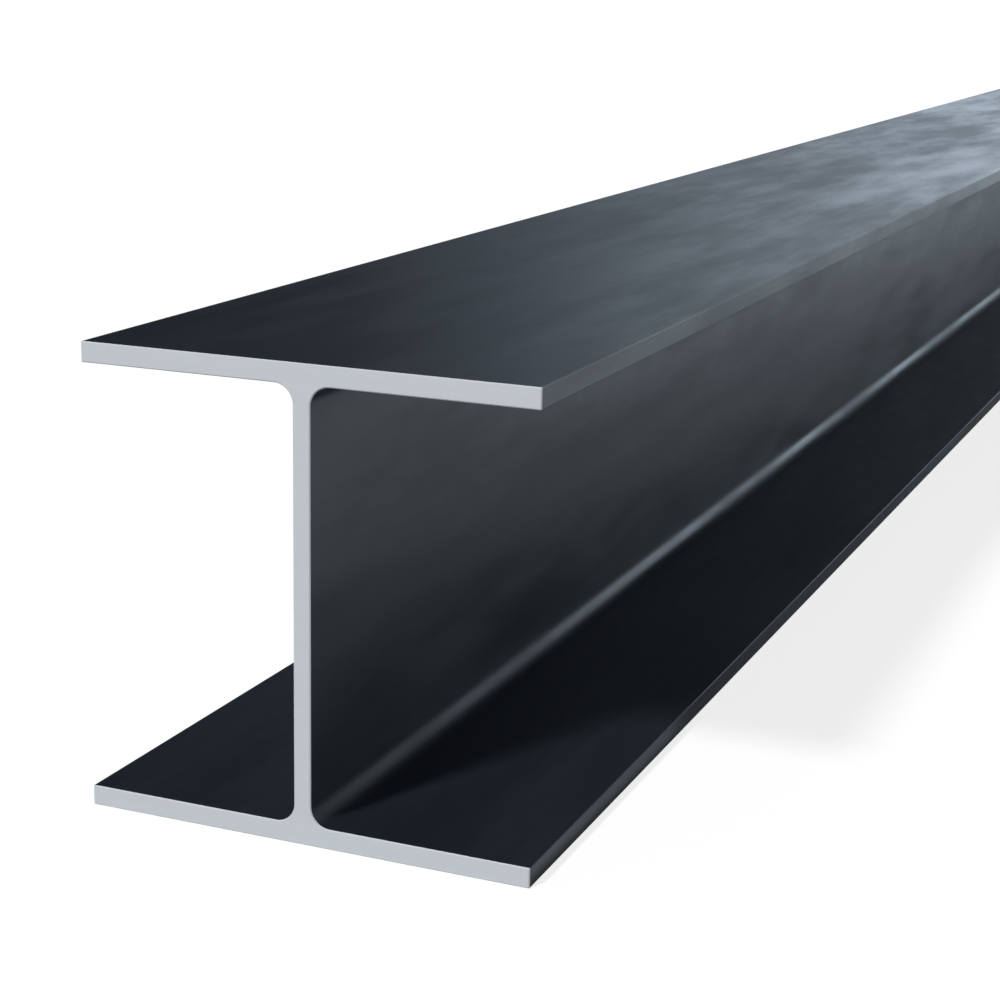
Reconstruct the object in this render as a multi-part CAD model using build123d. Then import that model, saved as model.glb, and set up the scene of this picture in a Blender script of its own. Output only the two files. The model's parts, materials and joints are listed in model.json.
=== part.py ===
from build123d import *

import os

# Hot-rolled steel H-beam, one solid piece of stock standing on its bottom flange.
# Millimetres. X runs across the flanges, Y along the beam, Z up.
# The origin is the middle of the underside, so the ends lie at plus and minus half the length.

# Driving dimensions of the rolled section: a light wide-flange shape, 152 x 152 mm and 22.5 kg/m.
DEPTH = 152.1
FLANGE_WIDTH = 152.1
FLANGE_THICKNESS = 6.60
WEB_THICKNESS = 5.84

# Radius of the rolled corner between the web and each flange.
ROOT_RADIUS = 6.35

# The flange toes leave the rolls almost square, with their corners just broken.
TOE_RADIUS = 0.4

# Length that the stock is sawn to, square across at both ends.
LENGTH = 3000.0


def section_corners():
    """The twelve corners of the section, each with its radius, anticlockwise from the lower right toe.

    X runs across the flanges and Y up the web. One quarter is given corner by corner. The quarter above it
    is its mirror image about mid-depth, and the left half is the mirror image of the right half.
    """
    lower_right = [
        ((FLANGE_WIDTH / 2, 0), TOE_RADIUS),
        ((FLANGE_WIDTH / 2, FLANGE_THICKNESS), TOE_RADIUS),
        ((WEB_THICKNESS / 2, FLANGE_THICKNESS), ROOT_RADIUS),
    ]
    upper_right = [((x, DEPTH - y), radius) for (x, y), radius in reversed(lower_right)]
    right = lower_right + upper_right
    left = [((-x, y), radius) for (x, y), radius in reversed(right)]
    return right + left


def rolled_section():
    """The section as it leaves the rolls: two parallel flanges and the web, one closed outline."""
    points = [point for point, radius in section_corners()]
    radii = [radius for point, radius in section_corners()]
    return make_face(FilletPolyline(points, radius=radii, close=True))


def h_beam():
    """The section drawn on the far end's plane and carried along the whole length to the near end."""
    far_end = Plane.XZ.offset(-LENGTH / 2)
    return extrude(far_end * rolled_section(), amount=LENGTH)


os.makedirs("parts", exist_ok=True)
export_step(h_beam(), "parts/h_beam.step")
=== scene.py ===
"""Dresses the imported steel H-beam: rolled skin with mill scale, bright sawn ends, a plain studio and a camera.

Metres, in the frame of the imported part: X across the flanges, Y along the beam, Z up. The beam stands on its bottom
flange, and its near end, which the camera looks at, is at the lowest Y.
"""
import json
import logging
import math
from dataclasses import dataclass, field
from enum import Enum

import bpy
import numpy as np
from mathutils import Matrix, Vector

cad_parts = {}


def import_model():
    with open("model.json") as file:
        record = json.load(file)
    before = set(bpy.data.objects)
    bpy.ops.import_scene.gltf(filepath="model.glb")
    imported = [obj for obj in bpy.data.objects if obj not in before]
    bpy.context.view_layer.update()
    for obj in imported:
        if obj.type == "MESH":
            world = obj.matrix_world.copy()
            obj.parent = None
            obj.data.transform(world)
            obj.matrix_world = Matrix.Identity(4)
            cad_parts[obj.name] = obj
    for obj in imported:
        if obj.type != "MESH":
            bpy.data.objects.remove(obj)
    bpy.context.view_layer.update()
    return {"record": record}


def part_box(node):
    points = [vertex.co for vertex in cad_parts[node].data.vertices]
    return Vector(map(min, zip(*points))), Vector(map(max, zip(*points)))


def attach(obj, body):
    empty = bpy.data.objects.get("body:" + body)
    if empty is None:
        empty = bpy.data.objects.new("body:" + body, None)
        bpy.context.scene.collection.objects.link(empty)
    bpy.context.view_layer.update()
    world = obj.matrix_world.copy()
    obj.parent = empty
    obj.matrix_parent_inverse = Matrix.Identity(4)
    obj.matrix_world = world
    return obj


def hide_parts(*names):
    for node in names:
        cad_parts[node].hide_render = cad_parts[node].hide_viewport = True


LOG = logging.getLogger("h_beam")

NODE = "h_beam"
BODY = "root"
MAP = "OFBake"
PICTURE_SIDE = 1000
SENSOR_WIDTH = 36.0
FULL_TURN = 2.0 * math.pi
HALF_TURN_DEGREES = 180.0

# Between 1 and 2, which are the Glossy Depths of a first reflection and of a reflection in it.
AFTER_FIRST_REFLECTION = 1.5

Colour = tuple[float, float, float]
Triple = tuple[float, float, float]
Feed = bpy.types.NodeSocket | float | tuple[float, ...]

WHITE: Colour = (1.0, 1.0, 1.0)


class Surface(Enum):
    """Which finish a face of the beam wears. The value is its place in the list of materials."""

    ROLLED = 0
    SAWN = 1


class End(Enum):
    """The two ends of the beam. The value is the place of an end's map, counted from the left."""

    NEAR = 0
    FAR = 1


class Slope(Enum):
    """How a ramp climbs from its low end to its high end. The value is the Map Range node's own name for it."""

    STRAIGHT = "LINEAR"
    SOFT = "SMOOTHSTEP"


class RayKind(Enum):
    """Kinds of light path that the studio answers to, named as the Light Path node's outputs."""

    CAMERA = "Is Camera Ray"
    GLOSSY = "Is Glossy Ray"
    TRANSMISSION = "Is Transmission Ray"


def rgba(colour: Colour) -> tuple[float, float, float, float]:
    """The colour with full alpha, as a socket takes it."""
    return (*colour, 1.0)


class Nodes:
    """Adds and joins nodes in one tree, so that a material reads as a list of its parts."""

    def __init__(self, tree: bpy.types.NodeTree) -> None:
        """Empties the tree.

        Args:
            tree: the node tree of a material or of the world.
        """
        self.tree = tree
        self.tree.nodes.clear()

    def add(self, kind: str, **settings: object) -> bpy.types.Node:
        """Adds one node.

        Args:
            kind: the node's type name.
            settings: its own properties, such as operation.

        Returns:
            The new node.
        """
        node = self.tree.nodes.new(kind)
        for name, value in settings.items():
            setattr(node, name, value)
        return node

    def put(self, socket: bpy.types.NodeSocket, value: Feed) -> None:
        """Feeds a socket.

        Args:
            socket: the input.
            value: another node's output, which gets a link, or a plain value.
        """
        if isinstance(value, bpy.types.NodeSocket):
            self.tree.links.new(value, socket)
        else:
            socket.default_value = value

    def math(self, operation: str, *values: Feed, clamp: bool = False) -> bpy.types.NodeSocket:
        """Adds a Math node.

        Args:
            operation: the operation's name, such as MULTIPLY.
            values: one number or socket for each input.
            clamp: whether the result is kept between 0 and 1.

        Returns:
            The result's socket.
        """
        node = self.add("ShaderNodeMath", operation=operation, use_clamp=clamp)
        for socket, value in zip(node.inputs, values):
            self.put(socket, value)
        return node.outputs[0]

    def blend(self, factor: Feed, low: Colour, high: Colour) -> bpy.types.NodeSocket:
        """Adds a colour mix.

        Args:
            factor: the share of the high colour, from 0 to 1.
            low: the colour where the factor is 0.
            high: the colour where it is 1.

        Returns:
            The socket of the mixed colour.
        """
        node = self.add("ShaderNodeMix", data_type="RGBA")
        colours = [socket for socket in node.inputs if socket.type == "RGBA"]
        self.put(node.inputs["Factor"], factor)
        self.put(colours[0], rgba(low))
        self.put(colours[1], rgba(high))
        return next(socket for socket in node.outputs if socket.type == "RGBA")

    def ramp(
        self, value: Feed, low: float, high: float, out_low: float, out_high: float, slope: Slope = Slope.STRAIGHT
    ) -> bpy.types.NodeSocket:
        """Adds a clamped Map Range.

        Args:
            value: what is mapped.
            low: the value that becomes out_low, as do those below it.
            high: the value that becomes out_high, as do those above it.
            out_low: the result at the low end.
            out_high: the result at the high end.
            slope: how it climbs between them.

        Returns:
            The result's socket.
        """
        node = self.add("ShaderNodeMapRange", interpolation_type=slope.value)
        for socket, number in zip(node.inputs, (value, low, high, out_low, out_high)):
            self.put(socket, number)
        return node.outputs[0]

    def object_place(self, scale: Triple, turn: Triple, shift: Triple = (0.0, 0.0, 0.0)) -> bpy.types.NodeSocket:
        """Adds Object coordinates and a Mapping node after them, so that a pattern stays on the steel.

        Args:
            scale: the stretch along each axis, which comes first.
            turn: the turn about each axis, which comes next.
            shift: the move along each axis, which comes last.

        Returns:
            The socket of the changed coordinates.
        """
        node = self.add("ShaderNodeMapping")
        self.put(node.inputs["Vector"], self.add("ShaderNodeTexCoord").outputs["Object"])
        node.inputs["Location"].default_value = shift
        node.inputs["Rotation"].default_value = turn
        node.inputs["Scale"].default_value = scale
        return node.outputs[0]

    def noise(
        self, vector: bpy.types.NodeSocket, scale: float, detail: float = 1.0, roughness: float = 0.5
    ) -> bpy.types.NodeSocket:
        """Adds a noise pattern.

        Args:
            vector: where the pattern is read.
            scale: its fineness, in features to a metre of the vector.
            detail: how many finer octaves it has.
            roughness: how strong they are.

        Returns:
            The socket of the pattern's value, from 0 to 1.
        """
        node = self.add("ShaderNodeTexNoise")
        self.put(node.inputs["Vector"], vector)
        node.inputs["Scale"].default_value = scale
        node.inputs["Detail"].default_value = detail
        node.inputs["Roughness"].default_value = roughness
        return node.outputs[0]

    def bump(self, height: bpy.types.NodeSocket, depth: float, strength: float = 1.0) -> bpy.types.NodeSocket:
        """Adds a Bump node.

        Args:
            height: a pattern from 0 to 1.
            depth: how far its full range stands out, in metres.
            strength: the share of the bend that shows.

        Returns:
            The socket of the bent normal.
        """
        node = self.add("ShaderNodeBump")
        node.inputs["Strength"].default_value = strength
        node.inputs["Distance"].default_value = depth
        self.put(node.inputs["Height"], height)
        return node.outputs[0]

    def first_reflection(self) -> bpy.types.NodeSocket:
        """Adds a Light Path node and returns 1 for rays that have been mirrored once at most, and 0 for others."""
        return self.math("LESS_THAN", self.add("ShaderNodeLightPath").outputs["Glossy Depth"], AFTER_FIRST_REFLECTION)

    def ray_is(self, *kinds: RayKind) -> bpy.types.NodeSocket:
        """Adds a Light Path node and asks it for the kind of ray.

        Args:
            kinds: the kinds that count.

        Returns:
            The socket of 1 for rays of any of these kinds, and 0 for others.
        """
        path = self.add("ShaderNodeLightPath")
        total = path.outputs[kinds[0].value]
        for kind in kinds[1:]:
            total = self.math("ADD", total, path.outputs[kind.value], clamp=True)
        return total

    def output(self, kind: str, shader: bpy.types.NodeSocket) -> None:
        """Adds the output node of this kind and shows the shader through it."""
        self.put(self.add(kind).inputs["Surface"], shader)


def new_material(name: str) -> tuple[bpy.types.Material, Nodes]:
    """Creates a material with an empty tree.

    Args:
        name: the material's name.

    Returns:
        The material, and the nodes to build it with.
    """
    material = bpy.data.materials.new(name)
    material.use_nodes = True
    return material, Nodes(material.node_tree)


@dataclass(frozen=True)
class MillScale:
    """The blue-black oxide that hot rolling leaves, satin, with soft cloudy streaks drawn out along the beam."""

    dark: Colour = (0.0110, 0.0150, 0.0210)
    light: Colour = (0.0208, 0.0278, 0.0372)
    smoothest: float = 0.29
    roughest: float = 0.47
    ior: float = 1.4
    spread: float = 0.7
    stretch: float = 0.2
    slant: float = math.radians(6.0)
    shift: Triple = (3.7, 2.2, 1.6)
    streak_scale: float = 50.0
    streak_detail: float = 4.0
    streak_roughness: float = 0.58
    streak_share: float = 0.6
    cloud_scale: float = 16.0
    light_from: float = 0.34
    light_full: float = 0.66
    wave_scale: float = 30.0
    wave_depth: float = 0.001

    def material(self) -> bpy.types.Material:
        """Builds the material.

        The pattern is streak_share times fine streaks, plus the rest times wider clouds. The cover climbs smoothly
        from 0, where the pattern is light_from, to 1, where it is light_full. It runs the colour from dark to light
        and the roughness from its highest to its lowest value. The shift sets which part of the endless pattern lies
        on the beam. Broad low waves, drawn out the same way, bend the reflections a little. Reflections are spread
        more across the beam than along it.

        Returns:
            A material that reads Object coordinates, so that its pattern stays on the steel.
        """
        material, nodes = new_material("mill_scale")
        drawn = nodes.object_place((1.0, self.stretch, 1.0), (self.slant, 0.0, self.slant), self.shift)
        streaks = nodes.noise(drawn, self.streak_scale, self.streak_detail, self.streak_roughness)
        streaks = nodes.math("MULTIPLY", streaks, self.streak_share)
        clouds = nodes.math("MULTIPLY", nodes.noise(drawn, self.cloud_scale), 1.0 - self.streak_share)
        pattern = nodes.math("ADD", streaks, clouds)
        cover = nodes.ramp(pattern, self.light_from, self.light_full, 0.0, 1.0, Slope.SOFT)
        waves = nodes.bump(nodes.noise(drawn, self.wave_scale), self.wave_depth)
        across = nodes.add("ShaderNodeTangent", direction_type="UV_MAP", uv_map=MAP).outputs[0]
        skin = nodes.add("ShaderNodeBsdfPrincipled")
        nodes.put(skin.inputs["Base Color"], nodes.blend(cover, self.dark, self.light))
        nodes.put(skin.inputs["Roughness"], nodes.ramp(cover, 0.0, 1.0, self.roughest, self.smoothest))
        nodes.put(skin.inputs["Normal"], waves)
        nodes.put(skin.inputs["Tangent"], across)
        skin.inputs["IOR"].default_value = self.ior
        skin.inputs["Anisotropic"].default_value = self.spread
        nodes.output("ShaderNodeOutputMaterial", skin.outputs[0])
        return material


@dataclass(frozen=True)
class SawnSteel:
    """Bare light grey steel of a sawn end, with the faint straight strokes of the saw across it."""

    low: Colour = (0.572, 0.610, 0.645)
    high: Colour = (0.618, 0.656, 0.691)
    roughness: float = 0.55
    stroke_scale: float = 420.0
    stroke_stretch: float = 0.02
    stroke_tilt: float = math.radians(8.0)
    stroke_detail: float = 2.0
    stroke_depth: float = 0.00002
    stroke_strength: float = 0.2

    def material(self) -> bpy.types.Material:
        """Builds the material.

        Returns:
            A material that reads Object coordinates, so that the strokes stay on the steel.
        """
        material, nodes = new_material("sawn_steel")
        drawn = nodes.object_place((self.stroke_stretch, 1.0, 1.0), (0.0, self.stroke_tilt, 0.0))
        strokes = nodes.noise(drawn, self.stroke_scale, self.stroke_detail)
        skin = nodes.add("ShaderNodeBsdfPrincipled")
        nodes.put(skin.inputs["Base Color"], nodes.blend(strokes, self.low, self.high))
        nodes.put(skin.inputs["Normal"], nodes.bump(strokes, self.stroke_depth, self.stroke_strength))
        skin.inputs["Roughness"].default_value = self.roughness
        nodes.output("ShaderNodeOutputMaterial", skin.outputs[0])
        return material


@dataclass(frozen=True)
class Section:
    """The rolled section, read from the frame: two parallel flanges and a web, with root fillets and rounded toes."""

    depth: float
    width: float
    flange: float
    web: float
    root_radius: float = 0.00635
    toe_radius: float = 0.0004
    arc_steps: int = 12
    flat_guard: float = 0.0012
    flat_steps: int = 6

    @classmethod
    def from_frame(cls, record: dict) -> "Section":
        """Takes the overall size from the CAD node, and the thicknesses from the mounts on the web and the ledge.

        The flange is as thick as the lower ledge is high, and the web twice as thick as its right face is off centre.

        Args:
            record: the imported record, whose mounts lie on the faces of the section.

        Returns:
            The section at its real size.
        """
        low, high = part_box(NODE)
        places = {mount["name"]: mount["pos_m"] for mount in record["mounts"]}
        return cls(
            depth=high.z - low.z,
            width=high.x - low.x,
            flange=places["lower_ledge_right"][2],
            web=2.0 * places["web_right"][0],
        )

    def corners(self) -> tuple[np.ndarray, np.ndarray]:
        """The twelve sharp corners, anticlockwise from the lower right toe, and their radii.

        One quarter is stated, and the others are its mirror images about mid-depth and about the web.

        Returns:
            An array of 12 corners in X and Z, and an array of their 12 radii.
        """
        quarter = np.array([
            [self.width / 2, 0.0],
            [self.width / 2, self.flange],
            [self.web / 2, self.flange],
        ])
        radii = np.array([self.toe_radius, self.toe_radius, self.root_radius])
        right = np.vstack([quarter, quarter[::-1] * (1.0, -1.0) + (0.0, self.depth)])
        right_radii = np.concatenate([radii, radii[::-1]])
        return np.vstack([right, right[::-1] * (-1.0, 1.0)]), np.concatenate([right_radii, right_radii[::-1]])

    def outline(self) -> np.ndarray:
        """The closed outline with its corners rounded and its flats divided.

        A corner c of radius r between unit directions a, coming in, and b, going out, is the arc
        c - r a + r b - r b cos t + r a sin t, for t from 0 to a quarter turn. The flat up to the next corner has a
        guard point just past each arc, so that its shading stays flat, and even steps between them.

        Returns:
            An array of points in X and Z, anticlockwise, without a repeated end.
        """
        corners, radii = self.corners()
        onward = np.roll(corners, -1, axis=0) - corners
        onward /= np.linalg.norm(onward, axis=1, keepdims=True)
        inward = np.roll(onward, 1, axis=0)
        turn = np.linspace(0.0, math.pi / 2, self.arc_steps + 1)[None, :, None]
        reach = radii[:, None, None]
        centre = corners[:, None] + reach * (onward - inward)[:, None]
        arcs = centre - reach * onward[:, None] * np.cos(turn) + reach * inward[:, None] * np.sin(turn)
        starts = arcs[:, -1] + self.flat_guard * onward
        ends = np.roll(arcs[:, 0], -1, axis=0) - self.flat_guard * onward
        share = np.linspace(0.0, 1.0, self.flat_steps + 1)[None, :, None]
        flats = starts[:, None] * (1.0 - share) + ends[:, None] * share
        return np.concatenate([arcs, flats], axis=1).reshape(-1, 2)


@dataclass
class HBeam:
    """The beam itself: the rolled outline carried along Y, with both ends sawn square and their edges just broken."""

    section: Section
    near: float
    far: float
    scale: MillScale = field(default_factory=MillScale)
    sawn: SawnSteel = field(default_factory=SawnSteel)
    edge_break: float = 0.00035
    stations: int = 61
    map_gap: float = 0.006
    map_ends: float = 0.11

    def station_places(self) -> np.ndarray:
        """The Y of each ring of the skin, from the far edge of the near break to the near edge of the far one."""
        return np.linspace(self.near + self.edge_break, self.far - self.edge_break, self.stations)

    @staticmethod
    def rings(outline: np.ndarray, places: np.ndarray) -> np.ndarray:
        """Repeats an outline along the beam.

        Args:
            outline: closed outline in X and Z.
            places: the Y of each ring.

        Returns:
            An array of places by outline points by 3.
        """
        grid = np.empty((len(places), len(outline), 3))
        grid[..., 0] = outline[:, 0]
        grid[..., 1] = places[:, None]
        grid[..., 2] = outline[:, 1]
        return grid

    @staticmethod
    def faces(count: int, around: int) -> list[list[int]]:
        """Joins the rings by four-sided faces and closes both ends.

        Point p of ring r has the number r times around plus p. The near end is read the other way round than the far
        end, so that both face outwards.

        Args:
            count: how many rings there are.
            around: how many points each has.

        Returns:
            The point numbers of each face, from the near ring to the far one, then the near end and the far end.
        """
        ring, step = np.meshgrid(np.arange(count - 1), np.arange(around), indexing="ij")
        following = (step + 1) % around
        quads = np.stack([
            ring * around + step,
            ring * around + following,
            (ring + 1) * around + following,
            (ring + 1) * around + step,
        ], axis=-1).reshape(-1, 4)
        near_end = np.arange(around)[::-1]
        far_end = np.arange(around) + (count - 1) * around
        return [*quads.tolist(), near_end.tolist(), far_end.tolist()]

    @staticmethod
    def mark(mesh: bpy.types.Mesh, count: int, around: int) -> None:
        """Marks each face as rolled or sawn, and the edges between the two as sharp.

        The first and the last band of faces are the edge breaks. They and both ends are sawn and flat, and the skin
        between them is rolled and smooth.

        Args:
            mesh: the beam's mesh, made from what the faces method lists.
            count: how many rings it has.
            around: how many points each has.
        """
        surfaces = np.full(len(mesh.polygons), Surface.ROLLED.value)
        surfaces[:around] = Surface.SAWN.value
        surfaces[(count - 2) * around:] = Surface.SAWN.value
        mesh.polygons.foreach_set("material_index", surfaces)
        mesh.polygons.foreach_set("use_smooth", surfaces == Surface.ROLLED.value)
        ends = np.empty(2 * len(mesh.edges), dtype=int)
        mesh.edges.foreach_get("vertices", ends)
        rings = ends.reshape(-1, 2) // around
        between = (rings == 1).all(axis=1) | (rings == count - 2).all(axis=1)
        mesh.edges.foreach_set("use_edge_sharp", between)

    def inset(self, outline: np.ndarray) -> np.ndarray:
        """The outline moved into the steel by the edge break, along the mean of its two neighbouring edges' normals.

        Args:
            outline: closed outline in X and Z, anticlockwise.

        Returns:
            The moved outline, point for point.
        """
        ahead = np.roll(outline, -1, axis=0) - outline
        ahead /= np.linalg.norm(ahead, axis=1, keepdims=True)
        tangent = ahead + np.roll(ahead, 1, axis=0)
        tangent /= np.linalg.norm(tangent, axis=1, keepdims=True)
        into = np.stack([-tangent[:, 1], tangent[:, 0]], axis=1)
        return outline + self.edge_break * into

    def strip_map(self, outline: np.ndarray) -> np.ndarray:
        """Lays the skin out flat as two strips side by side, one for each half of the length.

        Across a strip runs the way round the outline, and up it the way along the beam, so that neither is stretched
        and the seam lies under the bottom flange.

        Args:
            outline: closed outline in X and Z.

        Returns:
            An array of bands by outline points by the 4 corners of a face by 2, for the faces between the stations.
        """
        lengths = np.linalg.norm(np.roll(outline, -1, axis=0) - outline, axis=1)
        way = np.concatenate([[0.0], np.cumsum(lengths)]) / lengths.sum()
        bands = self.stations - 1
        half = bands // 2
        band = np.arange(bands)[:, None, None]
        step = np.arange(len(outline))[None, :, None]
        side = band // half
        across = way[step + np.array([0, 1, 1, 0])]
        along = (band % half + np.array([0, 0, 1, 1])) / half
        u = (side + self.map_gap + (1.0 - 2.0 * self.map_gap) * across) / 2.0
        v = self.map_ends + (1.0 - self.map_gap - self.map_ends) * along
        return np.stack(np.broadcast_arrays(u, v), axis=-1)

    def end_map(self, shape: np.ndarray, end: End) -> np.ndarray:
        """Lays an end's outline out flat below the strips of the skin.

        Across the map runs the way across the flanges, and up it the way up the web, at one scale.

        Args:
            shape: points of the end in X and Z.
            end: which end it is.

        Returns:
            The map's place of each point.
        """
        size = self.map_ends - 2.0 * self.map_gap
        left = self.map_gap + end.value * self.map_ends
        return np.stack([
            left + size * (shape[:, 0] / self.section.width + 0.5),
            self.map_gap + size * shape[:, 1] / self.section.depth,
        ], axis=1)

    def flat_map(self, outline: np.ndarray, rim: np.ndarray) -> np.ndarray:
        """The map of every corner of every face, in the order in which the faces method lists them.

        Args:
            outline: closed outline in X and Z.
            rim: the same outline moved in, round the sawn face.

        Returns:
            An array of corners by 2.
        """
        following = np.roll(np.arange(len(outline)), -1)
        breaks = []
        for end in End:
            outer = self.end_map(outline, end)
            inner = self.end_map(rim, end)
            first, second = (inner, outer) if end is End.NEAR else (outer, inner)
            breaks.append(np.stack([first, first[following], second[following], second], axis=1))
        near_face = self.end_map(rim, End.NEAR)[::-1]
        far_face = self.end_map(rim, End.FAR)
        parts = [breaks[0], self.strip_map(outline), breaks[1], near_face, far_face]
        return np.concatenate([part.reshape(-1, 2) for part in parts])

    def build(self) -> bpy.types.Object:
        """Builds the closed mesh: skin rings, an edge break at each end, and the two sawn faces.

        Returns:
            The beam's object, at the origin, with its place in its mesh.
        """
        outline = self.section.outline()
        rim = self.inset(outline)
        near_rim = self.rings(rim, np.array([self.near]))
        far_rim = self.rings(rim, np.array([self.far]))
        points = np.concatenate([near_rim, self.rings(outline, self.station_places()), far_rim])
        count, around = points.shape[:2]
        mesh = bpy.data.meshes.new("h_beam_steel")
        mesh.from_pydata(points.reshape(-1, 3), [], self.faces(count, around))
        self.mark(mesh, count, around)
        layer = mesh.uv_layers.new(name=MAP)
        layer.data.foreach_set("uv", self.flat_map(outline, rim).ravel())
        mesh.update()
        mesh.validate()
        beam = bpy.data.objects.new("h_beam_steel", mesh)
        bpy.context.scene.collection.objects.link(beam)
        return beam

    def dress(self, beam: bpy.types.Object) -> None:
        """Gives the beam its two finishes, in the order that Surface states."""
        beam.data.materials.append(self.scale.material())
        beam.data.materials.append(self.sawn.material())

    def assemble(self) -> bpy.types.Object:
        """Builds and dresses the beam and sets it on its body in place of the CAD node.

        Returns:
            The finished object.
        """
        beam = self.build()
        self.dress(beam)
        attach(beam, BODY)
        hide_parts(NODE)
        return beam


@dataclass(frozen=True)
class PaleFloor:
    """The studio floor's finish: matt, glowing a little to the camera, and paler still in reflections."""

    colour: Colour = (0.60, 0.60, 0.60)
    mirrored_colour: Colour = (0.80, 0.91, 1.0)
    glow: float = 0.5
    glow_strength: float = 1.6

    def material(self) -> bpy.types.Material:
        """Builds the material.

        For rays from the camera, glow is the share of it that shines white, and the rest is matt, so that it reads as
        a white ground and still keeps the beam's shadow.

        Returns:
            The floor's material.
        """
        material, nodes = new_material("pale_floor")
        matt = nodes.add("ShaderNodeBsdfDiffuse")
        mirrored = nodes.ray_is(RayKind.GLOSSY, RayKind.TRANSMISSION)
        nodes.put(matt.inputs["Color"], nodes.blend(mirrored, self.colour, self.mirrored_colour))
        shine = nodes.add("ShaderNodeEmission")
        shine.inputs["Strength"].default_value = self.glow_strength
        mix = nodes.add("ShaderNodeMixShader")
        nodes.put(mix.inputs[0], nodes.math("MULTIPLY", nodes.ray_is(RayKind.CAMERA), self.glow))
        nodes.put(mix.inputs[1], matt.outputs[0])
        nodes.put(mix.inputs[2], shine.outputs[0])
        nodes.output("ShaderNodeOutputMaterial", mix.outputs[0])
        return material


@dataclass(frozen=True)
class Panel:
    """A soft-edged pale panel on the sky, which only reflections show. Angles are in degrees, +Y is heading 0."""

    left: float
    right: float
    top: float
    left_fade: float
    right_fade: float
    top_fade: float
    brightness: float
    later: float = 1.0

    def light(self, nodes: Nodes, heading: bpy.types.NodeSocket, height: bpy.types.NodeSocket) -> bpy.types.NodeSocket:
        """Adds the nodes for this panel.

        The light is the brightness times s times s times t. Here s falls from 1 to 0 as the heading leaves the panel
        on either side, each at its own pace, and t as the height leaves its top. A reflection of a reflection shows
        only the later share of it.

        Args:
            nodes: the world's nodes.
            heading: a direction's heading, in degrees from +Y towards +X.
            height: its angle above the horizon, in degrees.

        Returns:
            The socket of the panel's light in that direction.
        """
        middle = (self.left + self.right) / 2.0
        half = (self.right - self.left) / 2.0
        aside = nodes.math("WRAP", nodes.math("SUBTRACT", heading, middle), HALF_TURN_DEGREES, -HALF_TURN_DEGREES)
        from_left = nodes.ramp(aside, -half - self.left_fade, -half, 0.0, 1.0)
        from_right = nodes.ramp(aside, half, half + self.right_fade, 1.0, 0.0)
        side = nodes.math("MULTIPLY", from_left, from_right)
        up = nodes.ramp(height, self.top, self.top + self.top_fade, 1.0, 0.0, Slope.SOFT)
        light = nodes.math("MULTIPLY", nodes.math("MULTIPLY", side, side), up)
        if self.later != 1.0:
            light = nodes.math("MULTIPLY", light, nodes.ramp(nodes.first_reflection(), 0.0, 1.0, self.later, 1.0))
        return nodes.math("MULTIPLY", light, self.brightness)


@dataclass(frozen=True)
class Lamp:
    """A broad distant lamp. It shines towards the heading, down from its height, both in radians. +Y is heading 0."""

    name: str
    heading: float
    height: float
    strength: float
    softness: float
    mirrored: bool = True

    def build(self) -> bpy.types.Object:
        """Creates the lamp.

        It is tipped up from straight down by a quarter turn less its height, and then turned to its heading.

        Returns:
            The lamp, which reflections show only if it is mirrored.
        """
        data = bpy.data.lights.new(self.name, "SUN")
        data.energy = self.strength
        data.angle = self.softness
        lamp = bpy.data.objects.new(self.name, data)
        lamp.rotation_euler = (math.pi / 2 - self.height, 0.0, -self.heading)
        lamp.visible_glossy = self.mirrored
        bpy.context.scene.collection.objects.link(lamp)
        return lamp


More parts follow.
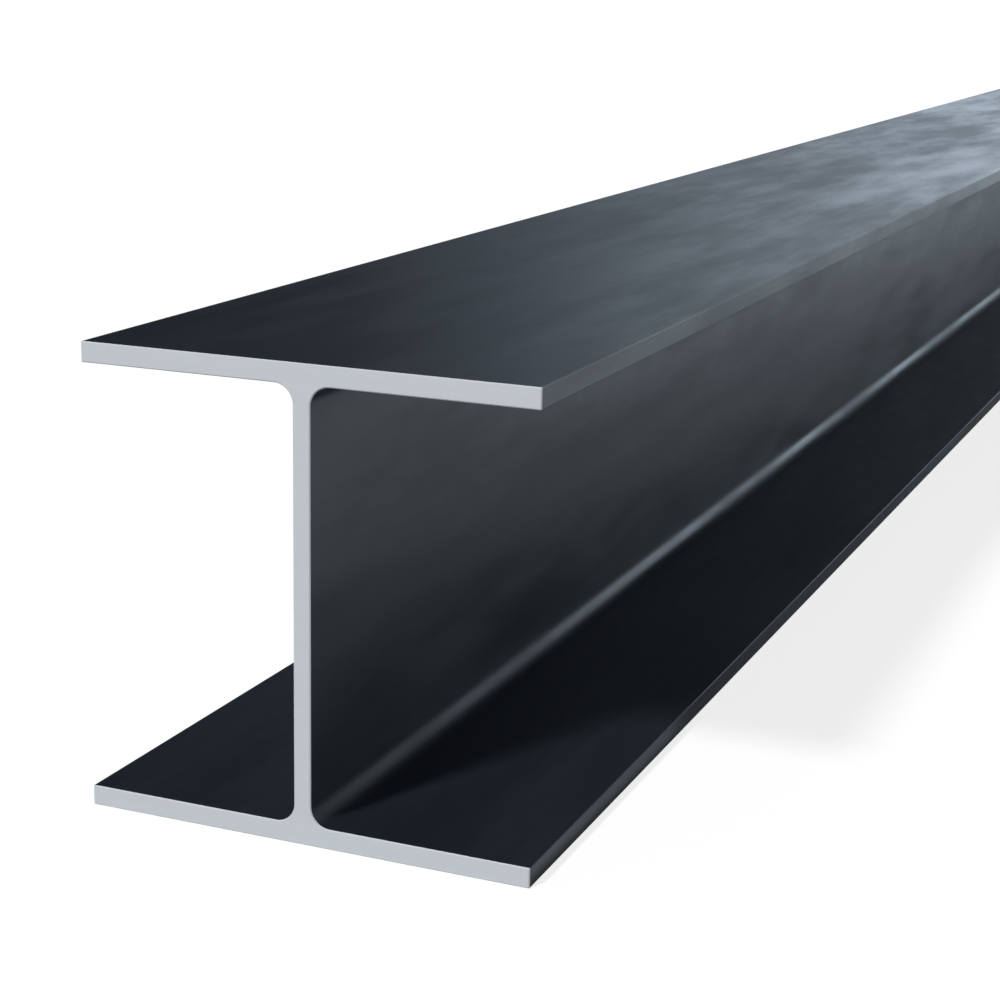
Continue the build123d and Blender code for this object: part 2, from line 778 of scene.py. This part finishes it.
@dataclass
class Studio:
    """A plain pale floor under soft light, and the camera at the photograph's viewing angle."""

    near_end: Vector
    panels: tuple[Panel, ...] = (
        Panel(left=-9.0, right=-2.0, top=18.0, left_fade=18.0, right_fade=10.0, top_fade=25.0, brightness=1.16),
        Panel(
            left=13.0, right=22.5, top=18.0, left_fade=12.0, right_fade=14.0, top_fade=12.0, brightness=1.5, later=0.15
        ),
        Panel(left=20.0, right=80.0, top=4.0, left_fade=15.0, right_fade=15.0, top_fade=7.0, brightness=0.88),
        Panel(left=100.0, right=275.0, top=90.0, left_fade=15.0, right_fade=15.0, top_fade=10.0, brightness=0.7),
    )
    panel_tint: Colour = (0.85, 1.0, 1.16)
    camera_offset: Triple = (0.28654, -0.54142, 0.26832)
    camera_heading: float = math.radians(22.344)
    camera_dip: float = math.radians(14.383)
    camera_roll: float = math.radians(1.196)
    focal_pixels: float = 2113.95
    key: Lamp = Lamp(
        "key", heading=math.radians(21.5), height=math.radians(42.0), strength=2.37, softness=math.radians(6.0)
    )
    fill: Lamp = Lamp(
        "fill", heading=math.radians(165.0), height=math.radians(14.0), strength=0.75, softness=math.radians(20.0),
        mirrored=False,
    )
    ambient: float = 0.20
    clip: tuple[float, float] = (0.01, 100.0)
    floor_radius: float = 30.0
    floor_sides: int = 96
    floor_finish: PaleFloor = PaleFloor()

    def camera(self) -> bpy.types.Object:
        """Creates the camera and makes it the scene's.

        Its focal length is focal_pixels times the sensor's width over the picture's side.

        Returns:
            The camera, turned by its heading about Z, then tipped down from the horizon, then rolled.
        """
        data = bpy.data.cameras.new("camera")
        data.sensor_width = SENSOR_WIDTH
        data.lens = self.focal_pixels * SENSOR_WIDTH / PICTURE_SIDE
        data.clip_start, data.clip_end = self.clip
        camera = bpy.data.objects.new("camera", data)
        turn = Matrix.Rotation(self.camera_heading, 3, "Z")
        tip = Matrix.Rotation(math.pi / 2 - self.camera_dip, 3, "X")
        roll = Matrix.Rotation(self.camera_roll, 3, "Z")
        camera.rotation_euler = (turn @ tip @ roll).to_euler()
        camera.location = self.near_end + Vector(self.camera_offset)
        bpy.context.scene.collection.objects.link(camera)
        bpy.context.scene.camera = camera
        return camera

    def world(self) -> None:
        """Makes the surroundings: white to the camera, even light on matt surfaces, and the panels in reflections.

        The strength is 1 for a camera ray, the sum of the panels' light for a reflected or refracted ray, and ambient
        for any other. A direction's heading is the arc tangent of its X over its Y, and its height the arc sine of
        its Z.
        """
        world = bpy.data.worlds.new("studio")
        world.use_nodes = True
        bpy.context.scene.world = world
        nodes = Nodes(world.node_tree)
        direction = nodes.add("ShaderNodeSeparateXYZ")
        nodes.put(direction.inputs[0], nodes.add("ShaderNodeTexCoord").outputs["Generated"])
        heading = nodes.math("DEGREES", nodes.math("ARCTAN2", direction.outputs[0], direction.outputs[1]))
        height = nodes.math("DEGREES", nodes.math("ARCSINE", direction.outputs[2]))
        shown = 0.0
        for each in self.panels:
            shown = nodes.math("ADD", shown, each.light(nodes, heading, height))
        seen = nodes.ray_is(RayKind.CAMERA)
        reflected = nodes.ray_is(RayKind.GLOSSY, RayKind.TRANSMISSION)
        matt = nodes.math("SUBTRACT", 1.0, nodes.math("ADD", reflected, seen, clamp=True))
        strength = nodes.math("ADD", seen, nodes.math("MULTIPLY", matt, self.ambient))
        strength = nodes.math("ADD", strength, nodes.math("MULTIPLY", reflected, shown))
        background = nodes.add("ShaderNodeBackground")
        nodes.put(background.inputs["Color"], nodes.blend(reflected, WHITE, self.panel_tint))
        nodes.put(background.inputs["Strength"], strength)
        nodes.output("ShaderNodeOutputWorld", background.outputs[0])

    def floor(self) -> bpy.types.Object:
        """Lays the round floor under the beam.

        Returns:
            The floor.
        """
        rim = np.linspace(0.0, FULL_TURN, self.floor_sides, endpoint=False)
        places = np.stack([np.cos(rim), np.sin(rim), np.zeros_like(rim)], axis=1) * self.floor_radius
        mesh = bpy.data.meshes.new("floor")
        mesh.from_pydata(places, [], [list(range(len(rim)))])
        floor = bpy.data.objects.new("floor", mesh)
        bpy.context.scene.collection.objects.link(floor)
        mesh.materials.append(self.floor_finish.material())
        return floor

    def assemble(self) -> None:
        """Sets up the floor, the surroundings, both lamps and the camera.

        The key comes from the near left and lights the near end, and the fill from the far left, for the far end.
        """
        self.floor()
        self.world()
        self.key.build()
        self.fill.build()
        self.camera()
        bpy.context.scene.view_settings.view_transform = "Standard"


def main() -> None:
    """Loads the frame, builds and reports the beam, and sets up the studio."""
    logging.basicConfig(level=logging.INFO, format="%(name)s: %(message)s")
    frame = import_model()
    low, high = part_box(NODE)
    beam = HBeam(Section.from_frame(frame["record"]), low.y, high.y).assemble()
    LOG.info("%s: %d faces", beam.name, len(beam.data.polygons))
    Studio(Vector((0.0, low.y, low.z))).assemble()


if __name__ == "__main__":
    main()
